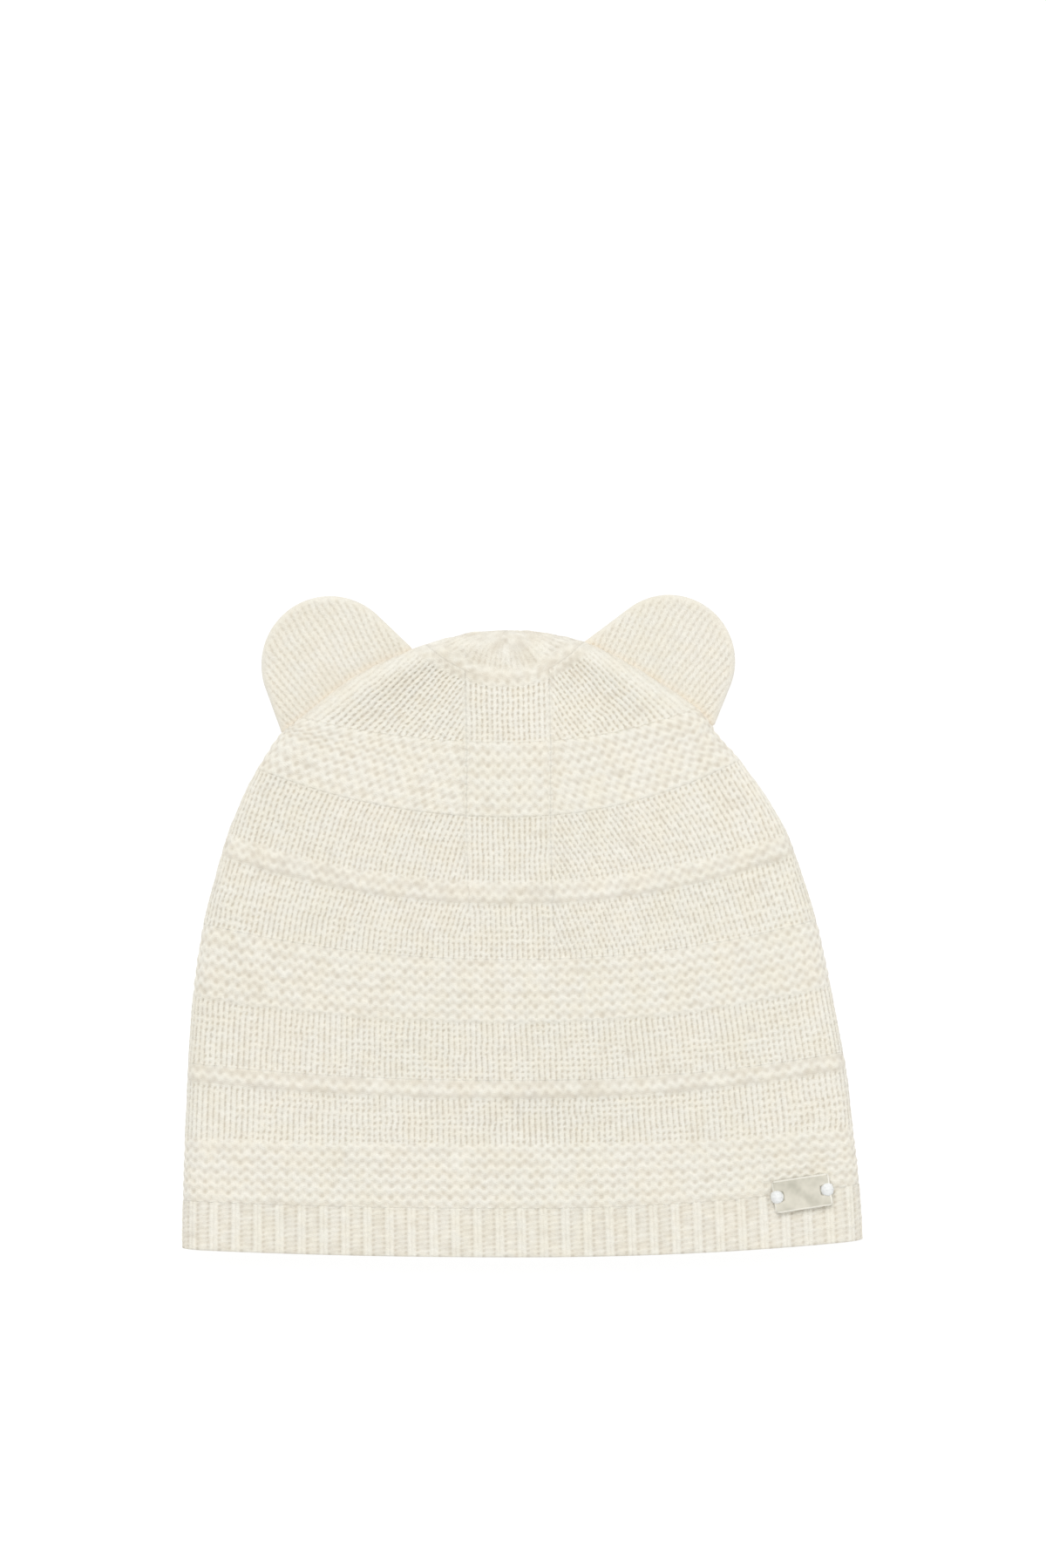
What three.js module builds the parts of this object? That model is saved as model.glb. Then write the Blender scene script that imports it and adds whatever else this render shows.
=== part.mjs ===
// A knitted baby hat with two round ears, laid flat on its back.
//
// Millimetres. +X runs to the right across the front, +Y from the hem to the crown, +Z up off the
// surface that the hat lies on. The origin is on that surface, under the middle of the hat.
//
// The hat is one knitted tube that closes at the crown, so a round of knitting is a flat ring: its
// front half and its back half meet in a rounded fold down each side. A round is named by its height
// on the centre line. COURSES says where the round of that height reaches the left and right folds.
// Height above the surface comes from how far a point lies inside the folded outline.

import * as THREE from 'three';
import { mergeVertices } from 'three/addons/utils/BufferGeometryUtils.js';

// Walls and folds
const WALL = 2.0; // thickness of the knit
const FOLD_RADIUS = 6.0; // outside radius of the side and crown folds
const GAP = 0.35; // running gap between touching pieces
const BOW_POWER = 2.1; // how a round curves up from the centre towards the folds
const FADE = 8.0; // raised work dies away over this width beside a fold

// How finely the knit is stepped
const ROUND_SPACING = 6.5; // widest step between the rounds that carry vertices
const FOLD_STEPS = 4; // round a quarter of a fold
const FRONT_STEPS = 14; // across the front between its folds
const BACK_STEPS = 6; // across the back
const OVER_CROWN = [90, 65, 42, 20]; // degrees round the crown fold, from its start to near the apex
const OUTLINE_STEPS = 220; // along each fold, from the hem to the apex
const SAME_PLACE = 1e-4; // corners closer than this are one

// Rounds of the hat, from the hem up. height: on the centre line. middle: x of the centre line.
// left, right: x and y of the place where the round meets that fold. loft: how far the front panel
// rises at its middle above the two folds.
const COURSES = [
  { name: 'hem edge', height: -92.3, middle: -1.0, left: [-95.2, -90.2], right: [94.8, -87.8], loft: 2.0 },
  { name: 'rib top', height: -78.7, middle: -1.0, left: [-95.0, -76.7], right: [93.9, -72.1], loft: 2.6 },
  { name: 'garter 1 top', height: -60.9, middle: -1.2, left: [-94.4, -59.4], right: [92.1, -56.3], loft: 3.6 },
  { name: 'welt 1 foot', height: -47.7, middle: -1.5, left: [-93.7, -42.9], right: [90.1, -39.5], loft: 4.4 },
  { name: 'welt 1 top', height: -43.4, middle: -1.7, left: [-93.5, -38.7], right: [89.4, -35.6], loft: 4.6 },
  { name: 'garter 2 foot', height: -26.8, middle: -2.2, left: [-92.1, -19.5], right: [85.8, -16.6], loft: 5.6 },
  { name: 'garter 2 top', height: -9.3, middle: -2.8, left: [-89.2, 0.5], right: [81.8, 1.7], loft: 6.2 },
  { name: 'welt 2 foot', height: 6.1, middle: -3.4, left: [-84.3, 19.5], right: [75.9, 20.2], loft: 6.4 },
  { name: 'welt 2 top', height: 12.2, middle: -3.6, left: [-82.5, 25.4], right: [73.8, 25.8], loft: 6.4 },
  { name: 'garter 3 foot', height: 30.4, middle: -4.0, left: [-74.1, 43.8], right: [60.5, 46.3], loft: 5.8 },
  { name: 'garter 3 middle', height: 41.0, middle: -4.0, left: [-67.7, 53.6], right: [54.1, 53.6], loft: 5.2 },
  { name: 'garter 3 top', height: 51.2, middle: -4.0, left: [-62.1, 58.3], right: [48.7, 60.9], loft: 4.4 },
  { name: 'crown slope', height: 59.0, middle: -4.2, left: [-47.0, 69.9], right: [34.6, 70.5], loft: 3.4 },
  { name: 'welt 3 foot', height: 67.0, middle: -4.4, left: [-30.6, 77.4], right: [20.0, 78.3], loft: 2.2 },
  { name: 'welt 3 top', height: 71.6, middle: -4.6, left: [-23.0, 79.8], right: [13.4, 80.4], loft: 1.4 },
  { name: 'crown top', height: 77.7, middle: -4.8, left: [-14.4, 81.9], right: [4.6, 82.2], loft: 0.5 },
  { name: 'apex', height: 82.7, middle: -4.9, left: [-4.9, 82.7], right: [-4.9, 82.7], loft: 0 },
];

// Raised bands of the body. foot, top: heights on the centre line. rise: how proud it stands.
// ramp: height over which it rises and falls.
const BANDS = [
  { name: 'garter 1', foot: -78.7, top: -60.9, rise: 0.5, ramp: 1.0 },
  { name: 'welt 1', foot: -47.9, top: -43.2, rise: 1.1, ramp: 1.5 },
  { name: 'garter 2', foot: -26.8, top: -9.3, rise: 0.5, ramp: 1.0 },
  { name: 'welt 2', foot: 6.1, top: 12.2, rise: 1.2, ramp: 1.9 },
  { name: 'garter 3', foot: 30.4, top: 51.2, rise: 0.5, ramp: 1.0 },
  { name: 'welt 3', foot: 66.8, top: 71.6, rise: 1.1, ramp: 1.5 },
];

// Places where the front panel sags. long, short: half sizes; turn: angle of the long one from +X.
const DENTS = [
  { name: 'under the left of the crown', x: -33.0, y: 63.6, long: 19, short: 6.5, turn: 38, depth: 2.6 },
  { name: 'under the right of the crown', x: 20.5, y: 64.5, long: 16, short: 6.5, turn: -44, depth: 2.2 },
  { name: 'middle, above the lowest band', x: 4.5, y: -55.0, long: 15, short: 9, turn: 0, depth: 1.7 },
  { name: 'left side, below the second welt', x: -82.0, y: -20.0, long: 26, short: 7, turn: 84, depth: 1.2 },
  { name: 'left shoulder', x: -71.0, y: 30.0, long: 16, short: 7, turn: 70, depth: 1.2 },
  { name: 'right shoulder', x: 60.0, y: 31.0, long: 18, short: 7, turn: -66, depth: 1.1 },
];

// Ribbed hem
const RIBS_PER_SIDE = 32; // knit ribs across the front, and as many across the back
const RIB_RISE = 0.55; // depth of the ribbing
const RIB_HEM_WALL = 2.2;
const RIB_STEPS = 4; // facets to a rib: up, crest, down, valley

// Ears: a disc whose flanks run straight down to its root on the crown fold
const EAR = { centre: 8.6, rootHalf: 21.7, thickness: 3.8, rootHeight: 5.3, tipHeight: 2.0 };
const EAR_STEPS = 22; // round the rim
const EAR_RIM = [0, 0.3, 1.0, 1.9, 5.0]; // how far in from the rim the rounding is stepped
const EAR_TAPER = 10; // strips shorter than this have their rounding drawn in
const EAR_BEND = 0.6; // where the last step of a strip stands between its rim and its root
const EAR_REST = 1.15; // an ear lies flat a little before its tip
// rootX, rootY: middle of the root. turn: slope of the root. shift: of the disc along the root.
const EARS = [
  { name: 'ear_left', rootX: -49.3, rootY: 65.8, turn: 33.3, radius: 19.2, shift: 0.0 },
  { name: 'ear_right', rootX: 35.1, rootY: 67.5, turn: -32.1, radius: 18.5, shift: 1.4 },
];

// Metal plate sewn on at the lower right, over the join of rib and garter stitch
const PLATE = { length: 16.1, height: 9.0, thickness: 1.0, corner: 0.7, bevel: 0.3 };
const PLATE_PLACE = { x: 77.7, y: -74.4, turn: 8.5 };
const HOLE = { length: 1.9, height: 3.1, inset: 1.2 }; // one near each short end
const TACK = { thread: 0.6, width: 2.3, overhang: 1.0 }; // white thread round each short end

const KNIT = { color: 0xeae5d7, roughness: 0.95, metalness: 0 };
const METAL = { color: 0xdad5c5, roughness: 0.28, metalness: 1 };
const THREAD = { color: 0xf6f4ee, roughness: 0.8, metalness: 0 };

// Smooth curve through the rows of a table: cubic pieces whose slope at a row is that of the
// parabola through it and its two neighbours.
function slopeAt(xs, ys, i) {
  const last = xs.length - 1;
  const chord = (k) => (ys[k + 1] - ys[k]) / (xs[k + 1] - xs[k]);
  if (i === 0) return chord(0);
  if (i === last) return chord(last - 1);
  const before = xs[i] - xs[i - 1];
  const after = xs[i + 1] - xs[i];
  return (chord(i - 1) * after + chord(i) * before) / (before + after);
}

function through(xs, ys, x) {
  let i = 0;
  while (i < xs.length - 2 && x > xs[i + 1]) i += 1;
  const width = xs[i + 1] - xs[i];
  const t = (x - xs[i]) / width;
  const m0 = slopeAt(xs, ys, i) * width;
  const m1 = slopeAt(xs, ys, i + 1) * width;
  const a = 2 * ys[i] - 2 * ys[i + 1] + m0 + m1;
  const b = -3 * ys[i] + 3 * ys[i + 1] - 2 * m0 - m1;
  return ((a * t + b) * t + m0) * t + ys[i];
}

const HEIGHTS = COURSES.map((row) => row.height);
const columns = {
  middle: COURSES.map((row) => row.middle),
  leftX: COURSES.map((row) => row.left[0]),
  leftY: COURSES.map((row) => row.left[1]),
  rightX: COURSES.map((row) => row.right[0]),
  rightY: COURSES.map((row) => row.right[1]),
  loft: COURSES.map((row) => row.loft),
};
const course = (key, height) => through(HEIGHTS, columns[key], height);
const HEM = HEIGHTS[0];
const RIB_TOP = HEIGHTS[1];
const APEX = HEIGHTS[HEIGHTS.length - 1];

const clamp01 = (t) => Math.min(1, Math.max(0, t));
const ease = (t) => clamp01(t) ** 2 * (3 - 2 * clamp01(t));

// A place on the front panel in plan: q runs from -1 at the left fold to 1 at the right fold.
function plan(height, q) {
  const middle = course('middle', height);
  const edgeX = q < 0 ? course('leftX', height) : course('rightX', height);
  const edgeY = q < 0 ? course('leftY', height) : course('rightY', height);
  const bow = Math.abs(q) ** BOW_POWER;
  return new THREE.Vector2(
    middle + (edgeX - middle) * Math.abs(q),
    height + (edgeY - height) * bow,
  );
}

// The folded outline, from the left end of the hem over the crown to its right end
const foldPoint = (i, side) => plan(HEM + ((APEX - HEM) * i) / OUTLINE_STEPS, side);
const outline = [];
for (let i = 0; i <= OUTLINE_STEPS; i += 1) outline.push(foldPoint(i, -1));
for (let i = OUTLINE_STEPS - 1; i >= 0; i -= 1) outline.push(foldPoint(i, 1));

// Distance in from a line of points, and the outward direction of the nearest stretch of it
function nearest(line, point) {
  let best = { distance: Infinity, outward: null, along: 0 };
  for (let i = 0; i < line.length - 1; i += 1) {
    const step = line[i + 1].clone().sub(line[i]);
    const length = step.length();
    if (length < SAME_PLACE) continue;
    const t = clamp01(point.clone().sub(line[i]).dot(step) / length ** 2);
    const distance = line[i].clone().addScaledVector(step, t).distanceTo(point);
    if (distance < best.distance) {
      best = { distance, outward: new THREE.Vector2(-step.y, step.x).divideScalar(length), along: i + t };
    }
  }
  return best;
}

function sag(x, y) {
  let total = 0;
  for (const dent of DENTS) {
    const turn = THREE.MathUtils.degToRad(dent.turn);
    const along = ((x - dent.x) * Math.cos(turn) + (y - dent.y) * Math.sin(turn)) / dent.long;
    const across = (-(x - dent.x) * Math.sin(turn) + (y - dent.y) * Math.cos(turn)) / dent.short;
    total += dent.depth * Math.exp(-(along ** 2) - across ** 2);
  }
  return total;
}

// Point of the smooth outer surface and its outward normal. side is 1 on the front, -1 on the back.
function surface(height, q, side) {
  const flat = plan(height, q);
  const near = nearest(outline, flat);
  const inFold = Math.min(1, near.distance / FOLD_RADIUS);
  const up = Math.sqrt(1 - (1 - inFold) ** 2);
  const sagged = sag(flat.x, flat.y) * ease(near.distance / FADE);
  const loft = side > 0 ? course('loft', height) * (1 - q * q) - sagged : 0;
  const point = new THREE.Vector3(flat.x, flat.y, FOLD_RADIUS + side * FOLD_RADIUS * up + loft);
  const out = near.outward.clone().multiplyScalar(1 - inFold);
  const normal = new THREE.Vector3(out.x, out.y, side * up).normalize();
  return { point, normal, distance: near.distance };
}

// Raised work stands proud on the front and is pressed flat where the hat lies on its back.
function raised(height, distance, side) {
  if (side < 0) return 0;
  let rise = 0;
  for (const band of BANDS) {
    const inside = Math.min(height - band.foot, band.top - height);
    rise += band.rise * ease(inside / band.ramp);
  }
  return rise * ease(distance / FADE);
}

// Where the vertices of a ring stand, as q: share s of the way along half a ring, folds and flat
function lateral(height, s) {
  const left = course('middle', height) - course('leftX', height);
  const right = course('rightX', height) - course('middle', height);
  const radius = Math.min(FOLD_RADIUS, (left + right) / 4);
  const quarter = (Math.PI / 2) * radius;
  const half = left + right - 2 * radius + 2 * quarter;
  const run = s * half;
  const fromLeft = (x) => (x < left ? x / left - 1 : (x - left) / right);
  if (run < quarter) return fromLeft(radius * (1 - Math.cos(run / radius)));
  if (run > half - quarter) return fromLeft(left + right - radius * (1 - Math.cos((half - run) / radius)));
  return fromLeft(run - quarter + radius);
}

// Shares of a half ring for plain knit: even steps round each fold, even steps across the panel
function shares(height, flatSteps) {
  const width = course('rightX', height) - course('leftX', height);
  const radius = Math.min(FOLD_RADIUS, width / 4);
  const fold = (Math.PI / 2) * radius;
  const half = width - 2 * radius + 2 * fold;
  const list = [];
  for (let i = 0; i < FOLD_STEPS; i += 1) list.push(((i / FOLD_STEPS) * fold) / half);
  for (let i = 0; i <= flatSteps; i += 1) list.push((fold + (i / flatSteps) * (half - 2 * fold)) / half);
  for (let i = FOLD_STEPS - 1; i >= 0; i -= 1) list.push(1 - ((i / FOLD_STEPS) * fold) / half);
  return list;
}

// Outer and inner ring of one round. frontShares and backShares start at the left fold.
function ring(height, frontShares, backShares, wall, rise) {
  const outer = [];
  const inner = [];
  const add = (s, side) => {
    const place = surface(height, lateral(height, s), side);
    outer.push(place.point.clone().addScaledVector(place.normal, rise(height, place.distance, side, s)));
    inner.push(place.point.clone().addScaledVector(place.normal, -wall));
  };
  for (const s of frontShares) add(s, 1);
  for (const s of backShares.slice(1, -1).reverse()) add(s, -1);
  return { outer, inner };
}

// One closed mesh: shared corners become one, and triangles that shrink to a line are left out
function closed(loose) {
  loose.deleteAttribute('normal');
  loose.deleteAttribute('uv');
  const merged = mergeVertices(loose, SAME_PLACE);
  const index = merged.index.array;
  const kept = [];
  for (let i = 0; i < index.length; i += 3) {
    const [a, b, c] = [index[i], index[i + 1], index[i + 2]];
    if (a !== b && b !== c && c !== a) kept.push(a, b, c);
  }
  merged.setIndex(kept);
  merged.computeVertexNormals();
  return merged;
}

// A closed mesh from triangles given as points
function solid(triangles) {
  const positions = triangles.flatMap((corners) => corners.flatMap((p) => [p.x, p.y, p.z]));
  const loose = new THREE.BufferGeometry();
  loose.setAttribute('position', new THREE.Float32BufferAttribute(positions, 3));
  return closed(loose);
}

// Triangles of the strip between two lines of points of equal length
function strip(below, above, closed) {
  const triangles = [];
  const count = closed ? below.length : below.length - 1;
  for (let i = 0; i < count; i += 1) {
    const j = (i + 1) % below.length;
    triangles.push([below[i], below[j], above[j]], [below[i], above[j], above[i]]);
  }
  return triangles;
}

const turned = (triangles) => triangles.map(([a, b, c]) => [a, c, b]);
const tip = (line, apex) => line.map((p, i) => [p, line[(i + 1) % line.length], apex]);

// Heights of the rounds that carry vertices: every edge of the raised bands, and even steps between
function rounds(lowest) {
  const marks = [lowest];
  for (const band of BANDS) {
    for (const mark of [band.foot, band.foot + band.ramp, band.top - band.ramp, band.top]) {
      if (mark > lowest + GAP) marks.push(mark);
    }
  }
  for (const angle of OVER_CROWN) {
    marks.push(APEX - FOLD_RADIUS * (1 - Math.cos(THREE.MathUtils.degToRad(angle))));
  }
  const list = [];
  marks.forEach((mark, i) => {
    list.push(mark);
    const next = marks[i + 1];
    const steps = next === undefined ? 1 : Math.ceil((next - mark) / ROUND_SPACING);
    for (let k = 1; k < steps; k += 1) list.push(mark + ((next - mark) * k) / steps);
  });
  return list;
}

// The body of the hat: a hollow shell, open at the foot, closed over the crown
function crownGeometry() {
  const rings = rounds(RIB_TOP + GAP / 2).map((height) => ring(
    height, shares(height, FRONT_STEPS), shares(height, BACK_STEPS), WALL, raised,
  ));
  const triangles = [...turned(strip(rings[0].outer, rings[0].inner, true))];
  for (let i = 0; i < rings.length - 1; i += 1) {
    triangles.push(...strip(rings[i].outer, rings[i + 1].outer, true));
    triangles.push(...turned(strip(rings[i].inner, rings[i + 1].inner, true)));
  }
  const top = plan(APEX, 0);
  const last = rings[rings.length - 1];
  triangles.push(...tip(last.outer, new THREE.Vector3(top.x, top.y, FOLD_RADIUS)));
  triangles.push(...turned(tip(last.inner, new THREE.Vector3(top.x, top.y - WALL, FOLD_RADIUS))));
  return solid(triangles);
}

// The ribbed hem: crest and valley by turns, pressed level underneath
function ribHemGeometry() {
  const steps = RIBS_PER_SIDE * RIB_STEPS;
  const even = Array.from({ length: steps + 1 }, (_, i) => i / steps);
  const rib = (height, distance, side, s) => {
    const crest = Math.round(s * steps) % RIB_STEPS < RIB_STEPS / 2;
    return side < 0 || crest ? 0 : -RIB_RISE * ease(distance / FOLD_RADIUS);
  };
  const low = ring(HEM, even, even, RIB_HEM_WALL, rib);
  const high = ring(RIB_TOP - GAP / 2, even, even, RIB_HEM_WALL, rib);
  return solid([
    ...strip(low.outer, high.outer, true),
    ...turned(strip(low.inner, high.inner, true)),
    ...turned(strip(low.outer, low.inner, true)),
    ...strip(high.outer, high.inner, true),
  ]);
}

// Outline of an ear in its own plane, root line on the x axis, from the left root end to the right:
// a straight flank, an arc that it touches, and the other flank
function earOutline(ear, steps) {
  const centre = new THREE.Vector2(ear.shift, EAR.centre);
  const [left, right] = [-1, 1].map((side) => {
    const root = new THREE.Vector2(side * EAR.rootHalf, 0);
    const reach = root.clone().sub(centre);
    const angle = reach.angle() + side * Math.acos(ear.radius / reach.length());
    const touch = new THREE.Vector2(Math.cos(angle), Math.sin(angle)).multiplyScalar(ear.radius).add(centre);
    return { root, angle, touch };
  });
  const path = new THREE.Path();
  path.moveTo(left.root.x, left.root.y);
  path.lineTo(left.touch.x, left.touch.y);
  path.absarc(centre.x, centre.y, ear.radius, left.angle, right.angle, true);
  path.lineTo(right.root.x, right.root.y);
  return path.getSpacedPoints(steps);
}

// An ear lies in the plane of the fold at its root and droops to the surface at its tip.
function earGeometry(ear) {
  const turn = THREE.MathUtils.degToRad(ear.turn);
  const place = (p) => new THREE.Vector2(
    ear.rootX + p.x * Math.cos(turn) - p.y * Math.sin(turn),
    ear.rootY + p.x * Math.sin(turn) + p.y * Math.cos(turn),
  );
  const rim = earOutline(ear, EAR_STEPS).map(place);
  const fineRim = earOutline(ear, EAR_STEPS * 6).map(place);
  const ends = [rim[0], rim[EAR_STEPS]].map((p) => nearest(outline, p).along);
  const seat = (share) => {
    const along = ends[0] + (ends[1] - ends[0]) * share;
    const i = Math.floor(along);
    const point = outline[i].clone().lerp(outline[i + 1], along - i);
    return point.addScaledVector(nearest(outline, point).outward, GAP);
  };
  rim[0] = seat(0);
  rim[EAR_STEPS] = seat(1);
  const tops = [];
  const bottoms = [];
  for (let i = 0; i <= EAR_STEPS; i += 1) {
    const base = seat(i / EAR_STEPS);
    const length = i === 0 || i === EAR_STEPS ? 0 : base.distanceTo(rim[i]);
    const top = [];
    const bottom = [];
    const taper = Math.min(1, length / EAR_TAPER);
    const stops = [...EAR_RIM.map((inset) => inset * taper), length * EAR_BEND, length];
    for (const stop of stops) {
      const flat = length === 0 ? rim[i].clone() : rim[i].clone().lerp(base, stop / length);
      const inward = Math.min(1, nearest(fineRim, flat).distance / (EAR.thickness / 2));
      const half = length === 0 || stop === 0 ? 0 : (EAR.thickness / 2) * Math.sqrt(1 - (1 - inward) ** 2);
      const out = clamp01(nearest(outline, flat).distance / (ear.radius + EAR.centre));
      const z = EAR.rootHeight + (EAR.tipHeight - EAR.rootHeight) * ease(out * EAR_REST);
      top.push(new THREE.Vector3(flat.x, flat.y, z + half));
      bottom.push(new THREE.Vector3(flat.x, flat.y, z - half));
    }
    tops.push(top);
    bottoms.push(bottom);
  }
  const triangles = [];
  for (let i = 0; i < EAR_STEPS; i += 1) {
    triangles.push(...strip(tops[i], tops[i + 1], false));
    triangles.push(...turned(strip(bottoms[i], bottoms[i + 1], false)));
  }
  const seats = (rows) => rows.map((row) => row[row.length - 1]);
  triangles.push(...turned(strip(seats(tops), seats(bottoms), false)));
  return solid(triangles);
}

// Height on the centre line of the round that passes through a place in plan
function roundAt(x, y) {
  let low = HEM;
  let high = APEX;
  const qAt = (height) => {
    const middle = course('middle', height);
    const edge = x < middle ? middle - course('leftX', height) : course('rightX', height) - middle;
    return (x - middle) / Math.max(edge, SAME_PLACE);
  };
  while (high - low > SAME_PLACE) {
    const height = (low + high) / 2;
    if (plan(height, qAt(height)).y < y) low = height;
    else high = height;
  }
  return { height: low, q: qAt(low) };
}

function frontHeight(x, y) {
  const found = roundAt(x, y);
  return surface(found.height, found.q, 1).point.z;
}

// Rounded plate with bevelled edges and an eight-sided eye for thread near each short end
function plateGeometry() {
  const { length, height, thickness, corner, bevel } = PLATE;
  const arcSteps = 4; // to a corner
  const reachX = length / 2 - corner - bevel;
  const reachY = height / 2 - corner - bevel;
  const quarters = [[-1, -1], [1, -1], [1, 1], [-1, 1]];
  const rim = quarters.flatMap(([i, j], quarter) => Array.from({ length: arcSteps + 1 }, (_, k) => {
    const angle = Math.PI + ((quarter + k / arcSteps) * Math.PI) / 2;
    return new THREE.Vector2(i * reachX + corner * Math.cos(angle), j * reachY + corner * Math.sin(angle));
  }));
  const shape = new THREE.Shape(rim);
  for (const side of [-1, 1]) {
    const middle = side * (length / 2 - HOLE.inset - HOLE.length / 2);
    shape.holes.push(new THREE.Path(Array.from({ length: 8 }, (_, k) => {
      const full = k % 2 === 0 ? 1 : 1.2; // the four diagonal corners are pushed out a little
      const angle = (-k * Math.PI) / 4;
      return new THREE.Vector2(
        middle + (HOLE.length / 2) * Math.cos(angle) * full,
        (HOLE.height / 2) * Math.sin(angle) * full,
      );
    })));
  }
  const body = new THREE.ExtrudeGeometry(shape, {
    depth: thickness - 2 * bevel,
    bevelSize: bevel,
    bevelThickness: bevel,
    bevelSegments: 1,
  });
  return closed(body.translate(0, 0, bevel));
}

// Thread round one short end of the plate: up through the slot, over the edge and down
function tackGeometry() {
  const rise = PLATE.thickness + GAP + TACK.thread;
  const inner = HOLE.inset + HOLE.length / 2 + TACK.thread / 2; // far side of the leg in the slot
  const outer = -TACK.overhang;
  const leg = TACK.thread;
  const nip = leg * 0.3; // the thread rounds its outer corners
  const shape = new THREE.Shape([
    [outer, 0], [outer + leg, 0], [outer + leg, rise - leg], [inner - leg, rise - leg], [inner - leg, 0],
    [inner, 0], [inner, rise - nip], [inner - nip, rise], [outer + nip, rise], [outer, rise - nip],
  ].map(([x, y]) => new THREE.Vector2(x, y)));
  const body = new THREE.ExtrudeGeometry(shape, { depth: TACK.width, bevelEnabled: false });
  body.translate(0, 0, -TACK.width / 2);
  return closed(body.rotateX(Math.PI / 2));
}

function piece(name, geometry, finish) {
  const mesh = new THREE.Mesh(geometry, new THREE.MeshStandardMaterial(finish));
  mesh.name = name;
  return mesh;
}

// The plate with its two threads lies on the front panel, leaning with it.
function plateGroup() {
  const group = new THREE.Group();
  const across = PLATE.length / 2;
  const up = PLATE.height / 2;
  const at = (dx, dy) => frontHeight(PLATE_PLACE.x + dx, PLATE_PLACE.y + dy);
  const leanX = Math.atan2(at(across, 0) - at(-across, 0), 2 * across);
  const leanY = Math.atan2(at(0, up) - at(0, -up), 2 * up);
  const highest = BANDS[0].rise + GAP;
  group.position.set(PLATE_PLACE.x, PLATE_PLACE.y, at(0, 0) + highest);
  group.rotation.set(leanY, -leanX, THREE.MathUtils.degToRad(PLATE_PLACE.turn), 'XYZ');
  group.add(piece('tag_plate', plateGeometry(), METAL));
  for (const [name, side] of [['tack_left', -1], ['tack_right', 1]]) {
    const tack = piece(name, tackGeometry(), THREAD);
    tack.position.x = (side * PLATE.length) / 2;
    if (side > 0) tack.rotation.z = Math.PI;
    group.add(tack);
  }
  return group;
}

const hat = new THREE.Group();
hat.name = 'baby_hat_with_ears';
hat.add(piece('crown', crownGeometry(), KNIT));
hat.add(piece('rib_hem', ribHemGeometry(), KNIT));
for (const ear of EARS) hat.add(piece(ear.name, earGeometry(ear), KNIT));
hat.add(plateGroup());

// The origin goes under the middle of the whole hat, ears and all.
const middleOfHat = new THREE.Box3().setFromObject(hat).getCenter(new THREE.Vector3());
hat.position.set(-middleOfHat.x, -middleOfHat.y, 0);

export default hat;
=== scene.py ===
"""A knitted baby hat with two round ears, laid flat on its back, dressed stitch by stitch.

Lengths in the tables are millimetres: x to the right, y from the hem to the crown, z up off the
surface that the hat lies on. A round of knitting is named by its height on the centre line.
"""

import bmesh
import bpy
import numpy as np
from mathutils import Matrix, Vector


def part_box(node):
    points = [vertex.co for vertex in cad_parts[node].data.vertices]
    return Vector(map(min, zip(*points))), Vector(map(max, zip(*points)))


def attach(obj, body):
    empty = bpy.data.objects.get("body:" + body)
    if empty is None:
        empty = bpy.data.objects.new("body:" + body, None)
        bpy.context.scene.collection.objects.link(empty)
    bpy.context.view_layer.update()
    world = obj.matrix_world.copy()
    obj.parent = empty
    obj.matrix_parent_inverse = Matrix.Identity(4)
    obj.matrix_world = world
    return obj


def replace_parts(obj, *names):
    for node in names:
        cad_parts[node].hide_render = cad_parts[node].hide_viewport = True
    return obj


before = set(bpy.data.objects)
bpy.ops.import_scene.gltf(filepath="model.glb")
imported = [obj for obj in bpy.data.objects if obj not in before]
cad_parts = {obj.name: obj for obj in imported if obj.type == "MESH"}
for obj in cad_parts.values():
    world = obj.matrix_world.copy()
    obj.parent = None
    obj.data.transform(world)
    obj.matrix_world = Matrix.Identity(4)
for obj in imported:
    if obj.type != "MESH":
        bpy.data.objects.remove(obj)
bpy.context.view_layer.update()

MM = 0.001
SHIFT = np.array([0.20, -0.118, 0.0])  # from the tables to the origin under the middle of the hat

WALL = 2.0
FOLD = 6.0  # outside radius of the side and crown folds
BOW = 2.1  # how a round curves up from the centre towards the folds
FADE = 8.0  # the dents die away over this width beside a fold
RAISED_FADE = 5.0  # and the raised bands over this one

# height, middle, leftX, leftY, rightX, rightY, loft of the front panel
ROUNDS = np.array([
    [-92.3, -1.0, -95.2, -90.2, 94.8, -87.8, 2.0],
    [-78.7, -1.0, -95.0, -76.7, 93.9, -72.1, 2.6],
    [-60.9, -1.2, -94.4, -59.4, 92.1, -56.3, 3.6],
    [-47.7, -1.5, -93.7, -42.9, 90.1, -39.5, 4.4],
    [-43.4, -1.7, -93.5, -38.7, 89.4, -35.6, 4.6],
    [-26.8, -2.2, -92.1, -19.5, 85.8, -16.6, 5.6],
    [-9.3, -2.8, -89.2, 0.5, 81.8, 1.7, 6.2],
    [6.1, -3.4, -84.3, 19.5, 75.9, 20.2, 6.4],
    [12.2, -3.6, -82.5, 25.4, 73.8, 25.8, 6.4],
    [30.4, -4.0, -74.1, 43.8, 60.5, 46.3, 5.8],
    [41.0, -4.0, -67.7, 53.6, 54.1, 53.6, 5.2],
    [51.2, -4.0, -62.1, 58.3, 48.7, 60.9, 4.4],
    [59.0, -4.2, -47.0, 69.9, 34.6, 70.5, 3.4],
    [67.0, -4.4, -30.6, 77.4, 20.0, 78.3, 2.2],
    [71.6, -4.6, -23.0, 79.8, 13.4, 80.4, 1.4],
    [77.7, -4.8, -14.4, 81.9, 4.6, 82.2, 0.5],
    [82.7, -4.9, -4.9, 82.7, -4.9, 82.7, 0.0],
]).T
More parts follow.
